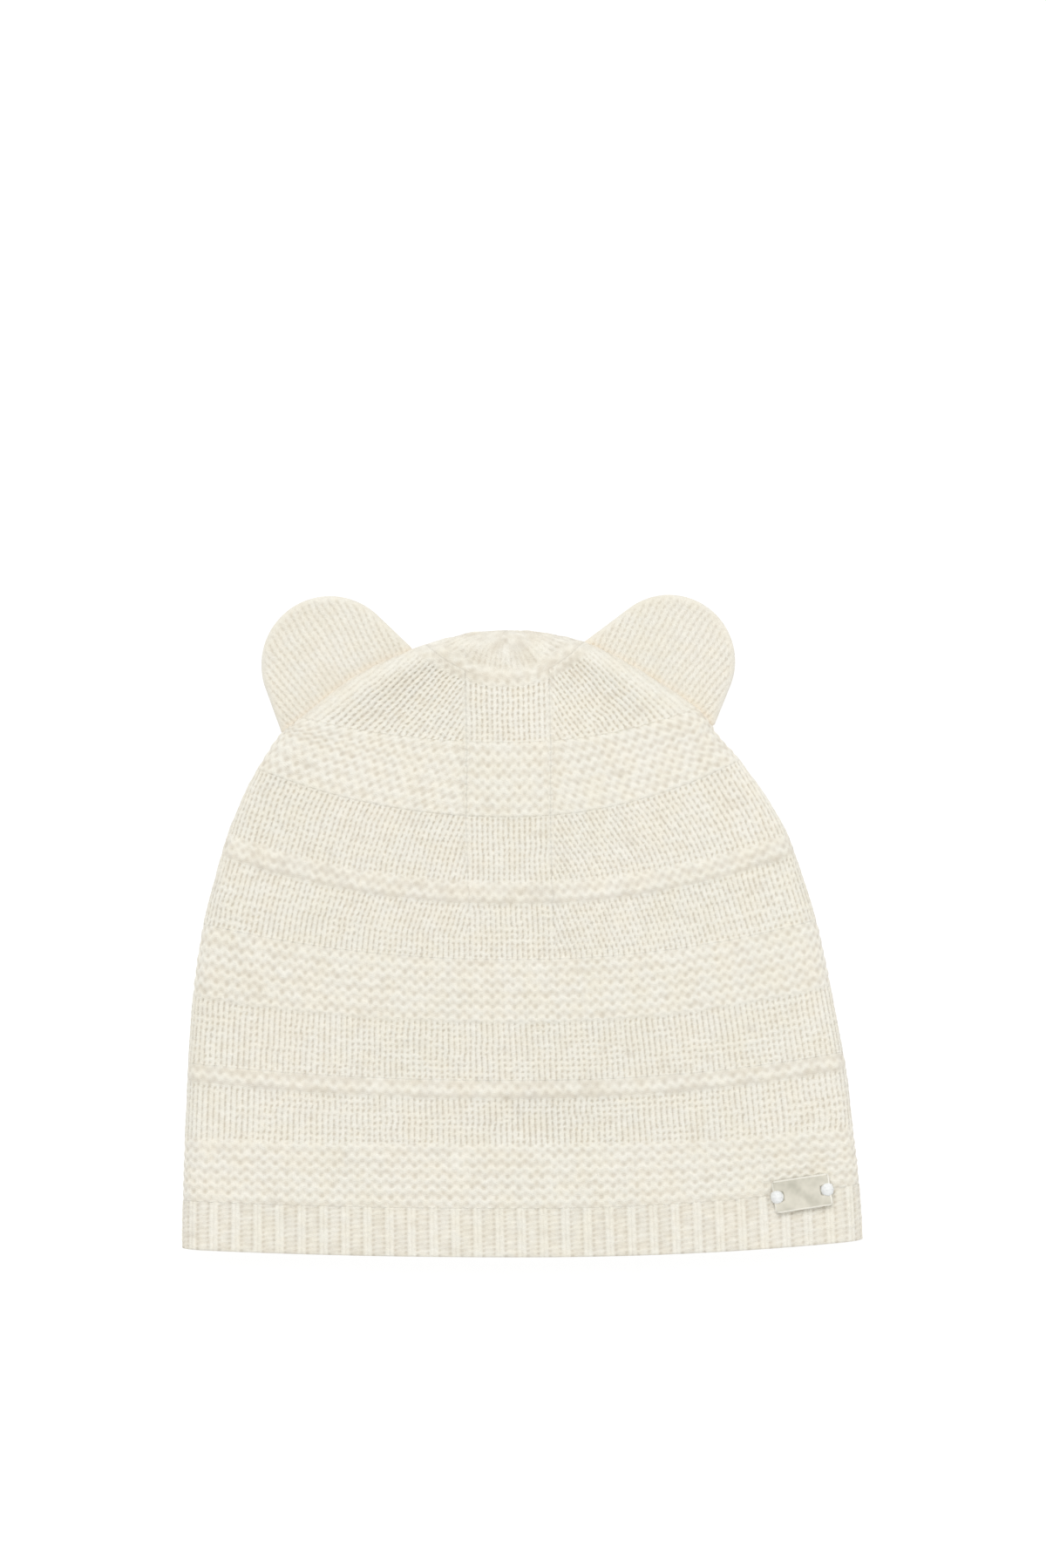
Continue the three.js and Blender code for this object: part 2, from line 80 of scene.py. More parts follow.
HEM, APEX = ROUNDS[0][0], ROUNDS[0][-1]

# stitch, height of its first round, number of courses, how proud the band stands
BANDS = [
    ("rib", -92.3, 10, 0.0),
    ("garter", -78.7, 12, 0.15),
    ("plain", -60.9, 8, 0.0),
    ("welt", -48.1, 3, 0.5),
    ("plain", -43.0, 10, 0.0),
    ("garter", -26.8, 12, 0.4),
    ("plain", -9.3, 9, 0.0),
    ("welt", 6.1, 4, 0.55),
    ("plain", 12.2, 11, 0.0),
    ("garter", 30.4, 13, 0.4),
    ("plain", 51.2, 9, 0.0),
    ("welt", 66.6, 3, 0.5),
    ("plain", 71.6, 3, 0.0),
    ("plain", 76.7, 6, 0.0),  # over the crown fold
]
FEET = np.cumsum([0] + [courses for _, _, courses, _ in BANDS]).astype(float)
FOOT_HEIGHTS = np.array([foot for _, foot, _, _ in BANDS] + [APEX])

# x, y, half length, half width, turn in degrees, depth of each place where the front sags
DENTS = [
    (-33.0, 63.6, 19, 6.5, 38, 2.6),
    (20.5, 64.5, 16, 6.5, -44, 2.2),
    (4.5, -55.0, 15, 9, 0, 1.7),
    (-82.0, -20.0, 26, 7, 84, 1.2),
    (-71.0, 30.0, 16, 7, 70, 1.2),
    (60.0, 31.0, 18, 7, -66, 1.1),
]
DEEPEST = max(depth for *_, depth in DENTS)

STEPS_PER_COURSE = 4
FRONT_STEPS, BACK_STEPS = 8, 5  # corners to a stitch round the front and the back
TUCK = 0.35  # how far a length's first edge is tucked under the one below it
TUCK_COURSE = 0.12  # share of a course by which that edge starts early
HEM_START, APEX_GAP = 0.3, 0.06  # courses left to the rounded edge and to the apex
HEM_EDGE = 0.45  # how far the rounded edge stands out of the hem
HEM_ANGLES = [30, 60, 90, 120, 150]  # lines of corners round that edge
MEAN, CREST = 0.7, 1.05  # stitch heights that lie on the smooth surface, in front and behind
CHAIN_RISE = 0.3  # how proud the two chains of decreases stand
BAND_CHANGE = 0.34  # share of a course over which one stitch changes to the next
WELT_ROLL = 0.12  # how far a welt rolls over towards the hem
WALES = 60  # across one half of the tube, from fold to fold, below the decreases
WALE = 2.92  # width of a wale where the hat narrows
PANEL = 4  # wales on each side of the centre that are never decreased
CENTRE_X = -4.0  # centre line at the crown
FAN_X, FAN_Y = 31.5, 127.5  # where the wales beside the panel aim, from the centre line
FAN_PITCH, FAN_COURSE = 1.86, 1.68  # degrees from wale to wale, and length of a course
TURN_FROM, TURN_OVER = 8.0, 22.0  # where one wale turns to the back, and over what length
LAST_WELT, TOP_WALES = 69.0, 6.5  # above this height the few wales left run to the apex
CALM_FROM, CALM_OVER = 80.6, 2.0  # the very top is smooth
RIBS = 32  # knit ribs across one half of the hem

EAR_CENTRE, EAR_ROOT, EAR_THICK = 8.6, 21.7, 3.8
EAR_ROOT_HEIGHT, EAR_TIP_HEIGHT = 5.3, 2.0
EAR_ACROSS, EAR_ROWS, EAR_RIM_STEPS = 236, 56, 9  # steps along the rim, inwards, and round the edge
EAR_WALE, EAR_COURSE = 3.12, 1.62  # width of a wale and length of a course
EAR_SEAT = 0.4  # the root lies this far under the edge of the fold
EAR_LEVEL = 0.8  # stitch height that lies on the smooth ear
EAR_TOP_RELIEF, EAR_BACK_RELIEF = 0.26, 0.38  # depth of the work on its two faces
EAR_BAND = 8  # no ear reaches below the foot of this band
# name, root x, root y, slope of the root, radius, shift along the root
EARS = [("ear_left", -49.3, 65.8, 33.3, 19.2, 0.0), ("ear_right", 35.1, 67.5, -32.1, 18.5, 1.4)]

PLATE_LENGTH, PLATE_HEIGHT, PLATE_TURN = 16.1, 9.0, 8.5
STRANDS, STRAND_STEPS, STRAND_RADIUS = 13, 22, 0.22

CREAM = (0.87, 0.842, 0.757, 1.0)
# painted shade: darker, warmer colour for the gaps between the strands
GAP_SHADE_CREAM = (0.69, 0.640, 0.55, 1.0)
# painted shade: warm peach laid in the crease where each ear is sewn to the crown fold
CREASE_SHADE_PEACH = (0.80, 0.65, 0.48, 1.0)
WHITE = (1.0, 1.0, 1.0, 1.0)

rng = np.random.default_rng(7)
TENSION = rng.normal(0.0, 1.0, (160, 160))  # how tightly each stitch is drawn


def through(x, row):
    """Cubic pieces through one column of ROUNDS; the slope at a row is that of the parabola
    through it and its two neighbours."""
    xs, ys = ROUNDS[0], ROUNDS[row]
    width = np.diff(xs)
    chord = np.diff(ys) / width
    slope = np.concatenate([
        chord[:1],
        (chord[:-1] * width[1:] + chord[1:] * width[:-1]) / (width[:-1] + width[1:]),
        chord[-1:],
    ])
    i = np.searchsorted(xs[1:-1], x)
    t = (x - xs[i]) / width[i]
    m0, m1 = slope[i] * width[i], slope[i + 1] * width[i]
    a = 2 * ys[i] - 2 * ys[i + 1] + m0 + m1
    b = -3 * ys[i] + 3 * ys[i + 1] - 2 * m0 - m1
    return ((a * t + b) * t + m0) * t + ys[i]


def ease(t):
    """Smooth step: 3 t^2 - 2 t^3 between 0 and 1, held outside them."""
    t = np.clip(t, 0.0, 1.0)
    return t * t * (3.0 - 2.0 * t)


def plan(height, q):
    """Place of a round in plan: x is linear in |q| from the middle to the fold, and y rises from
    the centre-line height to the fold's y by |q| to the power BOW."""
    middle = through(height, 1)
    edge_x = np.where(q < 0, through(height, 2), through(height, 4))
    edge_y = np.where(q < 0, through(height, 3), through(height, 5))
    share = np.abs(q)
    return middle + (edge_x - middle) * share, height + (edge_y - height) * share ** BOW


def folded_outline(steps=220):
    """The folded edge in plan, up the left fold from the hem to the apex and down the right."""
    up = np.linspace(HEM, APEX, steps + 1)
    left = np.stack(plan(up, np.full_like(up, -1.0)), 1)
    right = np.stack(plan(up, np.full_like(up, 1.0)), 1)[::-1][1:]
    return np.concatenate([left, right])


def nearest(line, x, y):
    """Least distance from each point to a line of corners, and the share along that line, in
    corners, of the place it is nearest to."""
    best = np.full(x.shape, np.inf)
    along = np.zeros(x.shape)
    for i, (start, end) in enumerate(zip(line[:-1], line[1:])):
        run = end - start
        length2 = run @ run
        if length2 < 1e-12:
            continue
        dx, dy = x - start[0], y - start[1]
        t = np.clip((dx * run[0] + dy * run[1]) / length2, 0.0, 1.0)
        d2 = (dx - t * run[0]) ** 2 + (dy - t * run[1]) ** 2
        closer = d2 < best
        best = np.where(closer, d2, best)
        along = np.where(closer, i + t, along)
    return np.sqrt(best), along


OUTLINE = folded_outline()
OUTLINE_RUN = np.gradient(OUTLINE, axis=0)
OUTLINE_OUT = np.stack([-OUTLINE_RUN[:, 1], OUTLINE_RUN[:, 0]], 1)
OUTLINE_OUT /= np.linalg.norm(OUTLINE_OUT, axis=1, keepdims=True)


def outward(along):
    """Unit normal of the folded outline at a place counted in its corners."""
    index = np.arange(len(OUTLINE))
    x = np.interp(along, index, OUTLINE_OUT[:, 0])
    y = np.interp(along, index, OUTLINE_OUT[:, 1])
    length = np.hypot(x, y)
    return x / length, y / length


def sag(x, y):
    """Sum of the dents: depth times exp of minus the squared distance in the dent's own axes."""
    total = np.zeros_like(x)
    for dent_x, dent_y, long, short, turn, depth in DENTS:
        c, s = np.cos(np.radians(turn)), np.sin(np.radians(turn))
        along = ((x - dent_x) * c + (y - dent_y) * s) / long
        across = (-(x - dent_x) * s + (y - dent_y) * c) / short
        total += depth * np.exp(-along ** 2 - across ** 2)
    return total


def surface(height, q, side):
    """Point and outward normal of the smooth hat. A point that lies d inside the folded outline
    stands at FOLD + side * FOLD * sqrt(1 - (1 - d / FOLD)^2), and the front has its loft too."""
    x, y = plan(height, q)
    distance, along = nearest(OUTLINE, x, y)
    inside = np.minimum(1.0, distance / FOLD)
    up = np.sqrt(1.0 - (1.0 - inside) ** 2)
    loft = through(height, 6) * (1.0 - q * q) - sag(x, y) * ease(distance / FADE)
    z = FOLD + side * FOLD * up + np.where(side > 0, loft, 0.0)
    out_x, out_y = outward(along)
    normal = np.stack([out_x * (1.0 - inside), out_y * (1.0 - inside), side * up], -1)
    normal /= np.linalg.norm(normal, axis=-1, keepdims=True)
    return np.stack([x, y, z], -1), normal, distance


def half_lengths(height):
    """Length of a round from the left fold to the middle, and from there to the right fold."""
    left = through(height, 1) - through(height, 2)
    right = through(height, 4) - through(height, 1)
    radius = np.minimum(FOLD, (left + right) / 4)
    extra = (np.pi / 2 - 1.0) * radius
    return left + extra, right + extra, radius


def lateral(height, share):
    """The q of a place that lies a share of the way along half a round, measured round the folds."""
    left, right, radius = half_lengths(height)
    extra = (np.pi / 2 - 1.0) * radius
    flat_left, flat_right = left - extra, right - extra
    quarter = np.pi / 2 * radius
    run, half = share * (left + right), left + right
    x = np.where(
        run < quarter,
        radius * (1.0 - np.cos(np.minimum(run, quarter) / radius)),
        np.where(
            run > half - quarter,
            flat_left + flat_right - radius * (1.0 - np.cos(np.minimum(half - run, quarter) / radius)),
            run - extra,
        ),
    )
    return np.where(x < flat_left, x / flat_left - 1.0, (x - flat_left) / flat_right)


def height_of(course):
    """Height of a course. Even steps inside a band; over the crown fold, even steps round it."""
    height = np.interp(course, FEET, FOOT_HEIGHTS)
    angle = np.clip((course - FEET[-2]) / (FEET[-1] - FEET[-2]), 0.0, 1.0) * np.pi / 2
    return np.where(course > FEET[-2], APEX - FOLD + FOLD * np.sin(angle), height)


def wale_of(height, share):
    """Wale number of a place, 0 on the centre line, and its distance from the line of decreases.
    Beside the folds wales are counted from the fold, over which one in all turns to the back above
    the second welt; in the centre panel they are counted from the middle, and those that no longer
    fit between are gone. Past the last welt the few that are left draw in to the apex."""
    left, right, _ = half_lengths(height)
    run = share * (left + right) - left
    side = np.sign(run) + (run == 0)
    half = np.where(run < 0, left, right)
    width = np.maximum(half / WALES * 2.0, WALE)
    from_middle = np.abs(run) / width
    turned = np.clip((height - TURN_FROM) / TURN_OVER, 0.0, 1.0)
    from_fold = WALES / 2 - (half - np.abs(run)) / width - turned
    wale = np.where(from_middle < PANEL, from_middle, from_fold)
    wale = np.where(height < LAST_WELT, wale, TOP_WALES * np.abs(run) / half)
    return side * wale, (from_middle - PANEL) * width


def crown_fan(x, y):
    """Wale and course beside the centre panel of the crown: wales are rays from a far point on the
    other side of the centre line, and courses are arcs about it."""
    side = np.where(x < CENTRE_X, -1.0, 1.0)
    dx, dy = FAN_X + side * (x - CENTRE_X), FAN_Y - y
    angle = np.degrees(np.arctan2(dy, dx))
    return side * angle / FAN_PITCH, (FAN_Y - np.hypot(dx, dy)) / FAN_COURSE


def drawn(wale, course):
    """Tension of the stitch at a place, out of the seeded table, between its neighbours."""
    column, row = np.mod(wale, 159.0), np.mod(course, 159.0)
    i, j = column.astype(int), row.astype(int)
    s, t = ease(column - i), ease(row - j)
    low = TENSION[i, j] * (1 - s) + TENSION[i + 1, j] * s
    high = TENSION[i, j + 1] * (1 - s) + TENSION[i + 1, j + 1] * s
    return low * (1 - t) + high * t


def plain_stitch(wale, course):
    """Stockinette, 0 in the gaps to 1 on the crests. Each half wale is a stack of slanting strands,
    one a course, of elliptical section and 1.4 courses long; the highest one shows."""
    long, foot, lean = 1.4, 0.27, 0.46
    half_width, half_end = 0.48, 0.42
    across = np.abs(np.mod(wale, 1.0) - 0.5) * 2.0
    rest = np.mod(course, 1.0)
    best = np.zeros_like(across)
    for step in (-1, 0, 1):
        along = (rest - step + 0.2) / long
        held = np.clip(along, 0.0, 1.0)
        sideways = (across - (foot + lean * held)) * 1.5
        lengthways = (along - held) * long * 1.65
        section = 1.0 - (sideways / half_width) ** 2 - (lengthways / half_end) ** 2
        arch = 0.76 + 0.24 * np.sin(np.pi * held)
        best = np.maximum(best, np.sqrt(np.maximum(section, 0.0)) * arch)
    return best, 0.20 + 0.80 * best


def garter_stitch(wale, course):
    """Garter stitch, 0 in the gaps to 1 on the cords between them. Every second course a wavy cord
    stands highest. The gaps are upright ovals, one a wale in each course and half a wale over from
    those of the next, those under a cord's crests shallower than those over its troughs."""
    gap_width, gap_length, odd_shift, cord_width = 0.22, 0.60, 0.14, 0.48
    least = np.full_like(course, 9.0)
    shallow = np.zeros_like(course)
    for step in (0, 1):
        row = np.floor(course) + step
        odd = np.mod(row, 2.0)
        across = np.mod(wale + 0.5 * odd + 0.5, 1.0) - 0.5
        away = np.hypot(across / gap_width, (course - row + odd_shift * odd) / gap_length)
        shallow = np.where(away < least, odd, shallow)
        least = np.minimum(least, away)
    gap = np.exp(-(least / 0.84) ** 2.2)
    crest = -0.56 - 0.30 * np.cos(2.0 * np.pi * wale)
    from_cord = np.mod(course - crest + 1.0, 2.0) - 1.0
    cord = np.exp(-(from_cord / cord_width) ** 2)
    height = (0.50 + 0.50 * cord) * (1.0 - gap * (0.88 - 0.22 * shallow))
    return height, (0.62 + 0.38 * cord) * (1.0 - gap * (0.58 - 0.20 * shallow))


def welt_stitch(wale, course):
    """The same work as garter stitch, drawn close and rounded over, so its gaps are shallower; its colour
    is painted darker, as shade against the light that its raised face catches.
    """
    height, tone_and_shade = garter_stitch(wale, course)
    return 0.40 + 0.60 * height, 0.12 + 0.66 * tone_and_shade


def rib_stitch(rib, course):
    """Knit one, purl one, 0 in the gaps to 1 on the knit wales: a knit wale is two upright strands
    with a groove between, and a purl wale lies a little lower, with a small deep gap each side once
    a course and shallow bows between them."""
    place = np.mod(rib + 0.5, 1.0) - 0.5
    away = np.abs(place) * 2.0
    beat = np.cos(2.0 * np.pi * course)
    strands = np.sqrt(np.maximum(1.0 - ((away - 0.21) / 0.23) ** 2, 0.0)) * (0.95 + 0.05 * beat)
    groove = 0.62 * ease((0.22 - away) / 0.2)
    row = np.mod(course + 0.25 * np.sign(place), 1.0) - 0.5
    gap = np.exp(-((away - 0.53) / 0.12) ** 2 - (row / 0.27) ** 2)
    bowed = np.cos(2.0 * np.pi * (course - 0.30 * (away - 0.7)))
    plateau = ease((away - 0.34) / 0.14)
    purl = (0.52 + 0.09 * bowed) * plateau
    height = np.maximum(np.maximum(strands, groove), purl) * (1.0 - 0.75 * gap)
    tone_and_shade = np.maximum(np.maximum(strands, groove), (0.62 + 0.08 * bowed) * np.maximum(plateau, 0.8))
    return height, tone_and_shade * (1.0 - 0.85 * gap)


# each stitch gives a height and a colour level; that level is painted shade, low down in the gaps
STITCHES = {"plain": plain_stitch, "garter": garter_stitch, "welt": welt_stitch, "rib": rib_stitch}
DEPTH = {"plain": 0.54, "garter": 0.44, "welt": 0.34, "rib": 0.66}


def knit_relief(wale, rib, course, row):
    """Share of the stitch's height, the same for its colour as a level that is painted shade, dark down
    in the gaps, and that height in mm, for each place, band by band, with the change between bands spread
    over a third of a course. row is the course that the stitches are counted by, which leaves the bands'
    own where the crown fans out."""
    share = np.zeros_like(course)
    tone_and_shade = np.zeros_like(course)
    depth = np.zeros_like(course)
    loose_wale = wale + 0.05 * drawn(wale * 0.37 + 40, row * 0.5) + 0.015 * drawn(wale + 9, row + 70)
    loose_course = row + 0.08 * drawn(wale + 90, row * 0.6 + 50)
    for (stitch, _, _, _), foot, top in zip(BANDS, FEET[:-1], FEET[1:]):
        weight = ease((course - foot) / BAND_CHANGE + 0.5) * ease((top - course) / BAND_CHANGE + 0.5)
        if foot == 0:
            weight = ease((top - course) / BAND_CHANGE + 0.5)
        height, shade = STITCHES[stitch](rib if stitch == "rib" else loose_wale, loose_course)
        share += weight * height
        tone_and_shade += weight * shade
        depth += weight * DEPTH[stitch]
    pull = 1.0 + 0.12 * drawn(wale + 20, row + 20)
    return share * pull, tone_and_shade * pull + 0.05 * drawn(wale * 2 + 60, row + 90), depth


def standing(height):
    """How proud the bands stand at a round, and how far a welt rolls over towards the hem."""
    rise = np.zeros_like(height)
    roll = np.zeros_like(height)
    for (stitch, foot, _, proud), top in zip(BANDS, FOOT_HEIGHTS[1:]):
        if proud == 0:
            continue
        welt = stitch == "welt"
        up, down = (2.4, 4.4) if welt else (1.8, 1.8)
        swell = ease((height - foot + 0.7) / up) * ease((top + 0.9 - height) / down)
        rise += proud * swell
        if welt:
            roll += WELT_ROLL * swell * ease(1.0 - (height - foot - 0.4) / 3.0)
    return rise, roll


def decrease_chain(height, course, away):
    """Ridge of the paired decreases beside the centre panel, beaded once a course."""
    shown = ease((height - 13.0) / 6.0) * ease((68.0 - height) / 5.0)
    bead = 0.75 + 0.25 * np.cos(2.0 * np.pi * course)
    return shown * bead * np.exp(-(away / 0.95) ** 2)


def ring_faces(rows, columns, start, inwards=False):
    """Quads of a closed tube of rows by columns corners; start is the number of its first corner."""
    i, j = np.meshgrid(np.arange(rows - 1), np.arange(columns), indexing="ij")
    k = np.mod(j + 1, columns)
    below, above = start + i * columns, start + (i + 1) * columns
    quads = np.stack([below + j, below + k, above + k, above + j], -1).reshape(-1, 4)
    return quads[:, ::-1] if inwards else quads


def join_faces(below, above):
    """Quads between two closed lines of corners of equal length."""
    return np.stack([below, np.roll(below, -1), np.roll(above, -1), above], -1)


def make_piece(name, points, faces, finish, uv=None, worn=None, triangles=None, flat=0,
               merge=False):
    """One mesh object at the origin from arrays of corners in mm, of quads and of triangles. The last
    few quads, counted by flat, are the cut ends of a tube and aren't shaded smooth."""
    mesh = bpy.data.meshes.new(name)
    corners = faces.reshape(-1)
    starts = np.arange(len(faces)) * faces.shape[1]
    if triangles is not None and len(triangles):
        starts = np.concatenate([starts, len(corners) + np.arange(len(triangles)) * 3])
        corners = np.concatenate([corners, triangles.reshape(-1)])
    mesh.vertices.add(len(points))
    mesh.vertices.foreach_set("co", ((points + SHIFT) * MM).astype(np.float32).reshape(-1))
    mesh.loops.add(len(corners))
    mesh.loops.foreach_set("vertex_index", corners.astype(np.int32))
    mesh.polygons.add(len(starts))
    mesh.polygons.foreach_set("loop_start", starts.astype(np.int32))
    index = np.arange(len(starts))
    smooth = (index < len(faces) - flat) | (index >= len(faces))
    mesh.polygons.foreach_set("use_smooth", smooth)
    if uv is not None:
        layer = mesh.uv_layers.new(name="knit")
        layer.data.foreach_set("uv", uv[corners].astype(np.float32).reshape(-1))
    for key, values in (worn or {}).items():
        mesh.attributes.new(key, "FLOAT", "POINT").data.foreach_set("value", values.astype(np.float32))
    mesh.update(calc_edges=True)
    mesh.validate()
    if merge:
        whole = bmesh.new()
        whole.from_mesh(mesh)
        bmesh.ops.remove_doubles(whole, verts=whole.verts, dist=1e-6)
        whole.to_mesh(mesh)
        whole.free()
    piece = bpy.data.objects.new(name, mesh)
    bpy.context.collection.objects.link(piece)
    mesh.materials.append(finish)
    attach(piece, "root")
    return piece


def ear_nearness(x, y):
    """1 where an ear is sewn on along the crown fold, falling to 0 within 3 mm either side; it masks the
    painted shade in that crease.
    """
    near = np.zeros_like(x)
    for _, root_x, root_y, turn, _, _ in EARS:
        c, s = np.cos(np.radians(turn)), np.sin(np.radians(turn))
        along = (x - root_x) * c + (y - root_y) * s
        distance, _ = nearest(OUTLINE, x, y)
        near += ease((EAR_ROOT + 0.5 - np.abs(along)) / 3.0) * np.exp(-(distance / 0.6) ** 2)
    return np.clip(near, 0.0, 1.0)


def quieten(relief, tone_and_shade, height, wale, course, distance, closes):
    """Softer work on the crown: both values are drawn towards a level beside its fold, and above the
    last welt towards another, with an uneven muddle added where the gather pulls the stitches."""
    if closes:
        pressed_flat = 0.65 * (1.0 - ease((distance - 1.0) / 7.0)) * (height < LAST_WELT)
        relief = relief + pressed_flat * (0.75 - relief)
        tone_and_shade = tone_and_shade + pressed_flat * (0.75 - tone_and_shade)
    gathered = ease((height - LAST_WELT) / 3.0)
    muddle = drawn(wale * 1.3 + 30, course * 0.9 + 12)
    smoothed = 0.65 + 0.3 * ease((height - 73.0) / 6.0)
    relief = relief + gathered * (0.30 * muddle - smoothed * (relief - MEAN))
    tone_and_shade = tone_and_shade + gathered * (0.16 * muddle - smoothed * (tone_and_shade - 0.58))
    return relief, tone_and_shade


def outer_face(course, share, side, closes):
    """The worked face of a length: points and normals of the smooth hat, how proud the work stands on
    each, stitch numbers and a colour level that is painted shade in the gaps and dents. In front that is
    the band's rise plus depth times (relief - MEAN);
    the back is pressed flat, so no band rises there and the crests lie near the smooth surface."""
    height = height_of(course)
    rise, roll = standing(height)
    q = lateral(height, share)
    _, _, inside = surface(height, q, side)
    raised = ease((inside + 1.0) / RAISED_FADE)
    pressed = side < 0
    rolled = np.where(pressed, 0.0, roll * raised)
    point, normal, distance = surface(np.maximum(height - rolled, HEM), q, side)
    x, y = point[..., 0], point[..., 1]

    wale, away = wale_of(height, share)
    row = course
    if closes:
        fan_wale, fan_row = crown_fan(x, y)
        fanned = (away > 0) & (height < LAST_WELT)
        wale, row = np.where(fanned, fan_wale, wale), np.where(fanned, fan_row, row)
    relief, tone_and_shade, depth = knit_relief(wale, share * RIBS, course, row)
    chain = decrease_chain(height, course, away)
    relief = np.maximum(relief * (1.0 - 0.5 * chain), chain)
    tone_and_shade = np.maximum(tone_and_shade * (1.0 - 0.5 * chain), chain)
    dent_opening_and_shade = np.where(pressed, 0.0, sag(x, y) / DEEPEST)
    # painted shade in the dents: the deeper the sag, the darker the colour; the pits there are also cut
    # deeper
    tone_and_shade = tone_and_shade - 0.18 * dent_opening_and_shade * (1.2 - tone_and_shade)
    depth = depth * (1.0 + 0.15 * dent_opening_and_shade)
    relief, tone_and_shade = quieten(relief, tone_and_shade, height, wale, course, distance, closes)

    front = rise * raised + depth * (relief - MEAN) + CHAIN_RISE * chain
    proud = np.where(pressed, depth * (relief - CREST), front)
    calm = ease((height - CALM_FROM) / CALM_OVER)
    proud = proud * (1.0 - calm) - 0.1 * calm
    tone_and_shade = tone_and_shade * (1.0 - calm) + 0.62 * calm
    return point, normal, proud, np.stack([wale, row], -1), tone_and_shade


def lining_face(course, share, side):
    """The inner face of a length, WALL inside the smooth hat, and its stitch numbers."""
    height = height_of(course)
    point, normal, _ = surface(height, lateral(height, share), side)
    return point - normal * WALL, np.stack([wale_of(height, share)[0], course], -1)


def hem_edge(outer, inner, down):
    """Lines of corners of the rounded edge of the hem: a half circle across the wall, from the outer
    line to the inner one, standing HEM_EDGE out of it, carried round the mouth."""
    middle, reach = (outer + inner) / 2, (outer - inner) / 2
    down = down / np.linalg.norm(down, axis=-1, keepdims=True)
    angles = np.radians(HEM_ANGLES)
    return [middle + reach * np.cos(angle) + down * np.sin(angle) * HEM_EDGE for angle in angles]


def knit_tube(name, low, high, finish, closes=False, hem=False):
    """A length of the tube from course low to course high: a shell between the worked face and a
    smooth lining, with corners evenly round each ring. The hem ends below in a rounded edge and the
    crown ends above in fans of triangles; the other ends are cut flat, and the first ring of each
    length but the hem is tucked in under the length before it."""
    first = height_of(np.array([float(low)]))[0]
    half = sum(half_lengths(first)[:2])
    stitches = RIBS * 2 if hem else min(WALES, int(half / WALE))
    front, back = stitches * FRONT_STEPS, stitches * BACK_STEPS
    share = np.concatenate([np.linspace(0, 1, front + 1), np.linspace(1, 0, back + 1)[1:-1]])
    side = np.concatenate([np.ones(front + 1), -np.ones(back - 1)])
    columns = len(share)
    ring = np.arange(columns)

    last = high - APEX_GAP if closes else high
    steps = STEPS_PER_COURSE * (2 if closes else 1)
    course = np.linspace(max(low, HEM_START), last, int((high - low) * steps) + 1)
    if not hem:
        course = np.concatenate([[low - TUCK_COURSE], course])
    grid = np.meshgrid(course, share, indexing="ij")
    point, normal, proud, outer_uv, tone_and_shade = outer_face(*grid, np.broadcast_to(side, grid[0].shape), closes)
    if not hem:
        proud[0] -= TUCK
    outer = point + normal * proud[..., None]

    lining_course = np.linspace(course[0], course[-1], max(3, int((high - low) / 3)))
    grid = np.meshgrid(lining_course, share, indexing="ij")
    inner, inner_uv = lining_face(*grid, np.broadcast_to(side, grid[0].shape))

    points = [outer.reshape(-1, 3), inner.reshape(-1, 3)]
    uv = [outer_uv.reshape(-1, 2), inner_uv.reshape(-1, 2)]
    tones_and_shades = [tone_and_shade.reshape(-1), np.full(len(points[1]), 0.7)]
    outer_count, inner_count = len(points[0]), len(points[1])
    knitted = ring_faces(outer.shape[0], columns, 0)
    tucked = 0 if hem else columns
    faces = [knitted[tucked:], ring_faces(inner.shape[0], columns, outer_count, True)]
    first_outer, last_outer = ring, outer_count - columns + ring
    first_inner, last_inner = outer_count + ring, outer_count + inner_count - columns + ring
    triangles, cuts = None, [knitted[:tucked]]

    if hem:
        edge = hem_edge(outer[0], inner[0], point[0] - point[STEPS_PER_COURSE])
        start = outer_count + inner_count
        lines = [first_outer] + [start + i * columns + ring for i in range(len(edge))] + [first_inner]
        for above, below in zip(lines[:-1], lines[1:]):
            faces.append(join_faces(below, above))
        points.append(np.concatenate(edge))
        uv.append(np.tile(uv[0][:columns] * [1, 0], (len(edge), 1)))
        tones_and_shades.append(np.tile(tone_and_shade[0], len(edge)))
    else:
        cuts.append(join_faces(first_inner, first_outer))

    if closes:
        top_x, top_y = plan(np.array([APEX]), np.array([0.0]))
        tip = outer_count + inner_count
        points.append(np.array([[top_x[0], top_y[0], FOLD], [top_x[0], top_y[0] - WALL, FOLD]]))
        uv.append(np.array([[0.0, high], [0.0, high]]))
        tones_and_shades.append(np.array([0.8, 0.7]))
        triangles = np.concatenate([
            np.stack([last_outer, np.roll(last_outer, -1), np.full(columns, tip)], -1),
            np.stack([np.roll(last_inner, -1), last_inner, np.full(columns, tip + 1)], -1),
        ])
    else:
        cuts.append(join_faces(last_outer, last_inner))

    points = np.concatenate(points)
    # painted shade in the ear seam's crease, by how near each place is to where an ear is sewn
    crease_shade = np.zeros(len(points))
    if high > FEET[EAR_BAND]:
        crease_shade[:outer_count] = ear_nearness(point[..., 0].reshape(-1), point[..., 1].reshape(-1))
    worn = {"tone_and_shade": np.clip(np.concatenate(tones_and_shades), 0.0, 1.2), "crease_shade": crease_shade}
    flat = sum(len(part) for part in cuts)
    faces = np.concatenate(faces + cuts)
    return make_piece(name, points, faces, finish, np.concatenate(uv), worn, triangles, flat)


